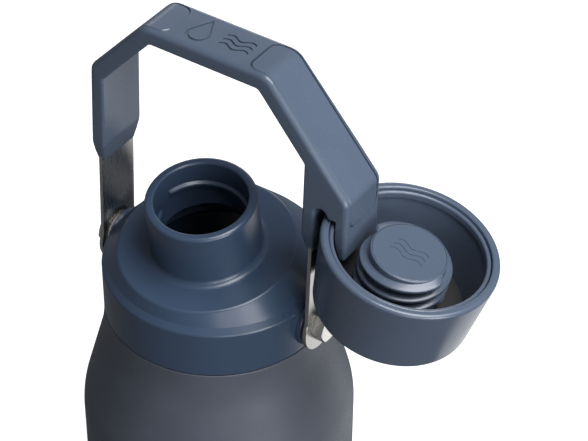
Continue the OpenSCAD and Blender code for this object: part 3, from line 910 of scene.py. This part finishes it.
def strap_line(play=0):
    """Side view of a strap without its eye, grown by some play: foot, bend and tip, then back inside."""
    slope = math.radians(SLANT)
    outer_x = STRAP_X + STRAP_T
    bend_z = slant_z(outer_x) - STRAP_DEPTH / math.cos(slope)
    along = Vector((-math.cos(slope), math.sin(slope)))
    across = Vector((-math.sin(slope), -math.cos(slope)))
    bend = Vector((outer_x, bend_z))
    tip = bend + along * (STRAP_BENT_LEN + play)
    inner_bend = Vector((STRAP_X, bend_z - STRAP_T * math.tan((math.pi / 2 - slope) / 2)))
    return [
        (outer_x + play, 0),
        tuple(bend - across * play + Vector((0, play))),
        tuple(tip - across * play),
        tuple(tip + across * (STRAP_T + play)),
        tuple(inner_bend - Vector((play, play))),
        (STRAP_X - play, 0),
    ]


def strap_pocket(side):
    """Cuts the strap's pocket: an upright part and a bent end."""
    half = STRAP_W / 2 + STRAP_PLAY
    outline = strap_line(STRAP_PLAY)
    points = [(x, y, z) for y in (-half, half) for x, z in outline]
    return prism("strap_pocket", points, len(outline), handle_side(side))


def cap_wall_room():
    """Cuts the way of the cap's wall as it slides down out of the slot."""
    flat = math.cos(math.radians(CAP_TILT))
    rim_in = CAP_R - CAP_WALL - LINER_GAP - LINER_WALL - CAP_PLAY
    rim_out = CAP_R + CAP_PLAY
    top_z = SLOT_TOP_Z - SLOT_ROUND + CAP_PLAY
    rings = []
    for radius, z in ((rim_in, -PAST), (rim_out, -PAST), (rim_out, top_z), (rim_in, top_z)):
        middle = CAP_X - flat * radius + radius / flat
        rings.append([(x + middle, y, h) for x, y, h in circle(radius / flat, z, SLOT_SEGMENTS)])
    return looped("cap_wall_room", rings, HANDLE)


def screw_places(side):
    """Frames of one side's screws, on the slanting face and square to it."""
    return [handle_side(side) @ moved(BEND_X, 0, HANDLE_H) @ turned(SLANT, "Y") @ moved(along, 0, 0)
            for along in SCREW_ALONG]


def screw_holes(side):
    """Cuts the stepped holes of one side's screws."""
    outline = [
        (0, -SCREW_HOLE_DEPTH),
        (SCREW_HOLE_R, -SCREW_HOLE_DEPTH),
        (SCREW_HOLE_R, -SCREW_SEAT_DEPTH),
        (SCREW_HEAD_R, -SCREW_SEAT_DEPTH),
        (SCREW_HEAD_R, -COVER_T / 2),
        (0, -COVER_T / 2),
    ]
    return [revolved("screw_hole", outline, place, HOLE_SEGMENTS) for place in screw_places(side)]


def drop_outline(height):
    """A plain water drop, its point towards +y."""
    radius = height * DROP_ROUND
    low = -height / 2 + radius
    tip = height / 2
    reach = math.degrees(math.acos(radius / (tip - low)))
    return arc((0, low), radius, 90 + reach, 450 - reach, DROP_STEPS) + [(0, tip)]


def wave_outline(width, rise, thick, y):
    """One wavy line of even thickness."""
    upper, lower = [], []
    for k in range(WAVE_STEPS + 1):
        x = -width / 2 + width * k / WAVE_STEPS
        middle = y + rise * math.sin(2 * math.pi * k / WAVE_STEPS * WAVE_COUNT)
        upper.append((x, middle + thick / 2))
        lower.append((x, middle - thick / 2))
    return upper + lower[::-1]


def wave_cutters(width, rise, thick, pitch, depth, place):
    """Cuts three waves, one above the other, into a face at z = 0."""
    cutters = []
    for row in (-1, 0, 1):
        outline = wave_outline(width, rise, thick, row * pitch)
        points = [(x, y, z) for z in (-depth, PAST) for x, y in outline]
        cutters.append(prism("wave", points, len(outline), place))
    return cutters


def drop_cutter(place):
    """Cuts the groove round a drop into a face at z = 0."""
    inner = DROP_H * DROP_INNER
    levels = ((DROP_H, -MOTIF_DEPTH), (DROP_H, PAST), (inner, PAST), (inner, -MOTIF_DEPTH))
    return looped("drop", [[(x, y, z) for x, y in drop_outline(height)] for height, z in levels], place)


def make_grip():
    """The moulded handle with its slot, strap pockets, cover recesses, screw holes and motifs."""
    grip = slab("handle_grip", [grip_outline()], grip_half_width, HANDLE)
    cutters = [cap_wall_room()]
    for side, outer_x in ((1, TONGUE_X), (-1, LEFT_LEG_X)):
        cutters.append(strap_pocket(side))
        cutters.append(cover_plate("recess", outer_x, handle_side(side), grow=COVER_GAP, lift=PAST))
        cutters += screw_holes(side)
    bar_top = HANDLE @ moved(0, 0, HANDLE_H)
    cutters.append(drop_cutter(bar_top @ moved(-MOTIF_STEP, 0, 0)))
    waves_at = bar_top @ moved(MOTIF_STEP, 0, 0)
    cutters += wave_cutters(WAVE_W, WAVE_RISE, WAVE_T, WAVE_PITCH, MOTIF_DEPTH, waves_at)
    combined(grip, cutters, "DIFFERENCE")
    place_piece(grip, "handle", SLATE, "slate_plastic", "handle_grip")


def make_covers():
    """The inset plates over the screws."""
    for side, outer_x, name in ((1, TONGUE_X, "cover_right"), (-1, LEFT_LEG_X, "cover_left")):
        cover = cover_plate(name, outer_x, handle_side(side), edge=COVER_EDGE)
        place_piece(cover, "handle", SLATE, "slate_plastic", name)


# Straps and bolts --------------------------------------------------------


def strap_plate(name, side):
    """The upright part with its round eye: drawn in y and z, then made as thick as the strap."""
    half = STRAP_W / 2
    top = strap_line()[4][1]
    start = math.degrees(math.asin(half / EYE_R))
    first, *eye, last = arc((0, 0), EYE_R, 90 + start, 450 - start, EYE_STEPS)
    corners = [(-half, top, 0), (*first, EYE_BLEND_R)]
    corners += [(y, z, 0) for y, z in eye]
    corners += [(*last, EYE_BLEND_R), (half, top, 0)]
    outline = [(y, z, STRAP_EDGE) for y, z in rounded(corners, 4)]
    hole = [(y, z, STRAP_EDGE) for y, z in arc((0, 0), BUSH_R, 0, 360, SMALL_SEGMENTS)[:-1]]
    across = handle_side(side) @ moved(STRAP_X + STRAP_T / 2, 0, 0) @ turned(90, "Z")
    return slab(name, [outline, hole], lambda z: STRAP_T / 2, across)


def strap_bend(side):
    """The bent end inside the slanting part of the handle, which laps over the upright part."""
    _, bend, tip, inner_tip, inner_bend, _ = strap_line()
    low = inner_bend[1] - STRAP_LAP
    outline = [(STRAP_X + STRAP_T, low), bend, tip, inner_tip, inner_bend, (STRAP_X, low)]
    half = STRAP_W / 2
    points = [(x, y, z) for y in (-half, half) for x, z in outline]
    return prism("bend", points, len(outline), handle_side(side))


def make_straps():
    """Steel straps: an eye, an upright part and a bent end with two screw holes."""
    low = -STRAP_DEPTH - STRAP_T - PAST
    high = -STRAP_DEPTH + PAST
    hole = [(0, low), (STRAP_HOLE_R, low), (STRAP_HOLE_R, high), (0, high)]
    for side, name in ((1, "strap_right"), (-1, "strap_left")):
        strap = strap_plate(name, side)
        holes = [revolved("hole", hole, place, HOLE_SEGMENTS) for place in screw_places(side)]
        combined(strap, [strap_bend(side)], "UNION")
        combined(strap, holes, "DIFFERENCE")
        place_piece(strap, "handle", STRAP_STEEL, "steel", name)


def make_bolts():
    """Shoulder bolts: a chamfered cone cut to a hexagon, a shoulder and a plain end for the thread."""
    top = BOLT_HEAD_X + BOLT_HEAD_H
    head = [
        (0, BOLT_HEAD_X),
        (HEX_CONE_R, BOLT_HEAD_X),
        (HEX_CONE_R, top - BOLT_CHAMFER_H),
        (HEX_TOP_R, top),
        (0, top),
    ]
    root = BOLT_HEAD_X + BOLT_ROOT
    shank = [
        (0, BOLT_END_X),
        (BOLT_THREAD_R - BOLT_END_CHAMFER, BOLT_END_X),
        (BOLT_THREAD_R, BOLT_END_X + BOLT_END_CHAMFER),
        (BOLT_THREAD_R, BOSS_FACE_X),
        (BOLT_R, BOSS_FACE_X),
        (BOLT_R, root),
        (0, root),
    ]
    corners = arc((0, 0), HEX_R, 30, 330, 5)
    hexagon = [(x, y, z) for z in (BOLT_HEAD_X - PAST, top + PAST) for x, y in corners]
    for side, name in ((1, "pivot_bolt_right"), (-1, "pivot_bolt_left")):
        place = pivot_axis(side)
        bolt = revolved(name, head, place, BOSS_SEGMENTS)
        combined(bolt, [prism("hexagon", hexagon, len(corners), place)], "INTERSECT")
        combined(bolt, [revolved("shank", shank, place, SMALL_SEGMENTS)], "UNION")
        place_piece(bolt, "lid", BRIGHT_STEEL, "polished_steel", name)


# Cap ---------------------------------------------------------------------


def cap_side(depth):
    """Outside radius of the cap at a depth."""
    return CAP_R - (CAP_R - CAP_END_R) * depth / CAP_DEPTH


def make_cap_shell():
    """The outer cup."""
    end_r = cap_side(CAP_DEPTH - CAP_END_T) - CAP_WALL
    outline = rounded([
        (0, -CAP_DEPTH, 0),
        (CAP_END_R, -CAP_DEPTH, 3),
        (CAP_R, 0, 1.7),
        (CAP_R - CAP_WALL, 0, 0.8),
        (end_r, -CAP_DEPTH + CAP_END_T, 0),
        (0, -CAP_DEPTH + CAP_END_T, 0),
    ])
    shell = revolved("cap_shell", outline, CAP, LARGE_SEGMENTS)
    place_piece(shell, "cap", SLATE, "slate_plastic", "cap_shell")


def make_cap_liner():
    """The inner cup, with a lip inside its rim."""
    gap = CAP_WALL + LINER_GAP
    foot = CAP_FLOOR + LINER_FLOOR_T
    top_r = cap_side(LINER_TOP) - gap
    lip_r = top_r - LINER_WALL
    lip_z = -LINER_TOP - LIP_DEPTH
    outline = rounded([
        (LINER_HOLE_R, -foot, 0),
        (cap_side(foot) - gap, -foot, 0.4),
        (top_r, -LINER_TOP, 0.8),
        (lip_r, -LINER_TOP, 1.0),
        (lip_r - LIP_DRAFT, lip_z, 0.5),
        (lip_r + LIP_STEP, lip_z - LIP_STEP_H, 0.2),
        (cap_side(CAP_FLOOR) - gap - LINER_WALL, -CAP_FLOOR, 2),
        (LINER_HOLE_R, -CAP_FLOOR, 0),
    ])
    liner = revolved("cap_liner", outline, CAP, LARGE_SEGMENTS)
    place_piece(liner, "cap", SLATE, "slate_plastic", "cap_liner")


def make_cap_plug():
    """The hollow stem with its two ridges and a seat for the disc."""
    inside = PLUG_R - PLUG_WALL
    seat_z = -PLUG_TOP - PLUG_DISC_T
    outline = rounded([
        (inside, -CAP_FLOOR, 0),
        (PLUG_R, -CAP_FLOOR, 0),
        (PLUG_R, -PLUG_TOP, PLUG_BEVEL),
        (PLUG_DISC_R, -PLUG_TOP, 0),
        (PLUG_DISC_R, seat_z, 0),
        (inside, seat_z, 0),
    ])
    core = revolved("cap_plug", outline, CAP)
    thread_top = CAP @ moved(0, 0, -PLUG_TOP - PLUG_THREAD_TOP)
    shape = (PLUG_R, PLUG_RIDGE_H, PLUG_RIDGE_W, PLUG_RIDGE_TURNS)
    threads = [ridge("plug_thread", *shape, thread_top, start) for start in PLUG_STARTS]
    combined(core, threads, "UNION")
    place_piece(core, "cap", SLATE, "slate_plastic", "cap_plug")


def make_plug_cover():
    """The disc that closes the plug, with shallow waves."""
    radius = PLUG_DISC_R - PLUG_DISC_GAP
    low = -PLUG_TOP - PLUG_DISC_T
    outline = rounded([
        (0, low, 0),
        (radius, low, 0),
        (radius, -PLUG_TOP, PLUG_DISC_ROUND),
        (0, -PLUG_TOP, 0),
    ])
    disc = revolved("plug_cover", outline, CAP, DISC_SEGMENTS)
    face = CAP @ moved(0, 0, -PLUG_TOP)
    waves = wave_cutters(DISC_WAVE_W, DISC_WAVE_RISE, DISC_WAVE_T, DISC_WAVE_PITCH, DISC_MOTIF_DEPTH, face)
    combined(disc, waves, "DIFFERENCE")
    place_piece(disc, "cap", SLATE, "slate_plastic", "plug_cover")


def make_cap_gasket():
    """The flat seal on the floor of the inner cup."""
    outer = cap_side(CAP_FLOOR) - GASKET_WALL_GAP
    inner = PLUG_R + GASKET_PLUG_GAP
    low = -CAP_FLOOR + GASKET_LIFT
    high = low + GASKET_T
    outline = rounded([(inner, low, 0.2), (outer, low, 0.2), (outer, high, 0.6), (inner, high, 0.6)])
    gasket = revolved("cap_gasket", outline, CAP)
    place_piece(gasket, "cap", SILICONE, "silicone", "cap_gasket")


# Pieces carried over from the CAD ----------------------------------------


CARRIED = {
    "inner_liner": VESSEL_STEEL,
    "base_plate": VESSEL_STEEL,
    "base_cover": COAT,
    "vacuum_seal": BRASS,
    "getter": SILICONE,
    "lid_gasket": SILICONE,
    "lid_liner": NAVY,
    "lid_insulation": FOAM,
    "pivot_insert_left": BRASS,
    "pivot_insert_right": BRASS,
    "pivot_washer_left": STRAP_STEEL,
    "pivot_washer_right": STRAP_STEEL,
    "pivot_bush_left": NYLON,
    "pivot_bush_right": NYLON,
    "strap_screws_left": BRIGHT_STEEL,
    "strap_screws_right": BRIGHT_STEEL,
    "cap_insulation": FOAM,
}


def dress_carried():
    """Gives each remaining CAD piece its material."""
    for name, material in CARRIED.items():
        obj = bpy.data.objects[name]
        obj.data.materials.clear()
        obj.data.materials.append(material)


# Studio ------------------------------------------------------------------


def make_floor():
    """A plain pale sheet, large enough to fill the picture."""
    side = [-FLOOR_HALF + 2 * FLOOR_HALF * i / FLOOR_CELLS for i in range(FLOOR_CELLS + 1)]
    points = [(x, y, 0) for x in side for y in side]
    count = len(side)
    starts = [i * count + k for i in range(FLOOR_CELLS) for k in range(FLOOR_CELLS)]
    faces = [(a, a + count, a + count + 1, a + 1) for a in starts]
    mesh = bpy.data.meshes.new("floor")
    mesh.from_pydata(points, [], faces)
    floor = bpy.data.objects.new("floor", mesh)
    bpy.context.scene.collection.objects.link(floor)
    material, make, link, shader = new_material("pale_floor")
    patches = grain(make, link, scale=4, detail=2)
    link(shaded_colour(make, link, patches, FLOOR_COLOUR, change=0.005), shader.inputs["Base Color"])
    shader.inputs["Roughness"].default_value = 0.9
    shader.inputs["Emission Color"].default_value = (1, 1, 1, 1)
    shader.inputs["Emission Strength"].default_value = FLOOR_GLOW
    mesh.materials.append(material)
    floor.visible_diffuse = False
    floor.visible_glossy = False


def make_light(name, size, power, at, towards):
    """A white rectangular lamp; size and places are in metres, power is in watts."""
    light = bpy.data.lights.new(name, "AREA")
    light.shape = "RECTANGLE"
    light.size, light.size_y = size
    light.energy = power
    obj = bpy.data.objects.new(name, light)
    obj.location = at
    obj.rotation_euler = (Vector(towards) - Vector(at)).to_track_quat("-Z", "Y").to_euler()
    bpy.context.scene.collection.objects.link(obj)
    return obj


def make_studio():
    """A soft sky, four large lamps, and a small low one that is seen only in reflections."""
    world = bpy.data.worlds.new("studio")
    bpy.context.scene.world = world
    world.use_nodes = True
    background = world.node_tree.nodes["Background"]
    background.inputs["Color"].default_value = (*WORLD_COLOUR, 1)
    background.inputs["Strength"].default_value = WORLD_STRENGTH
    make_light("top", size=(1.2, 1.2), power=50, at=(0.8, 0.0, 1.7), towards=(0.03, 0, 0.25))
    make_light("front", size=(0.5, 1.0), power=7, at=(1.3, -1.3, 0.35), towards=(0.03, 0, 0.1))
    make_light("back", size=(1.2, 0.8), power=7, at=(-0.9, 1.7, 0.6), towards=(0.0, 0, 0.15))
    make_light("right", size=(0.7, 1.2), power=24, at=(1.7, -0.6, 0.3), towards=(0.03, 0, 0.12))
    low = make_light("low", size=(0.2, 0.2), power=0.13, at=(0.17, 0.18, 0.03), towards=(0.06, 0, 0.22))
    low.visible_camera = False
    low.visible_diffuse = False
    bpy.context.scene.view_settings.view_transform = "Standard"


def make_camera():
    """The camera, aimed and then rolled about its line of sight."""
    data = bpy.data.cameras.new("camera")
    data.lens = CAMERA_LENS
    data.shift_x, data.shift_y = CAMERA_SHIFT
    camera = bpy.data.objects.new("camera", data)
    look = (CAMERA_LOOKS_AT - CAMERA_AT).to_track_quat("-Z", "Y").to_matrix()
    roll = Matrix.Rotation(math.radians(CAMERA_ROLL), 3, "Z")
    camera.matrix_world = Matrix.Translation(CAMERA_AT) @ (look @ roll).to_4x4()
    bpy.context.scene.collection.objects.link(camera)
    bpy.context.scene.camera = camera


make_bottle()
make_lid()
make_grip()
make_covers()
make_straps()
make_bolts()
make_cap_shell()
make_cap_liner()
make_cap_plug()
make_plug_cover()
make_cap_gasket()
dress_carried()
make_floor()
make_studio()
make_camera()
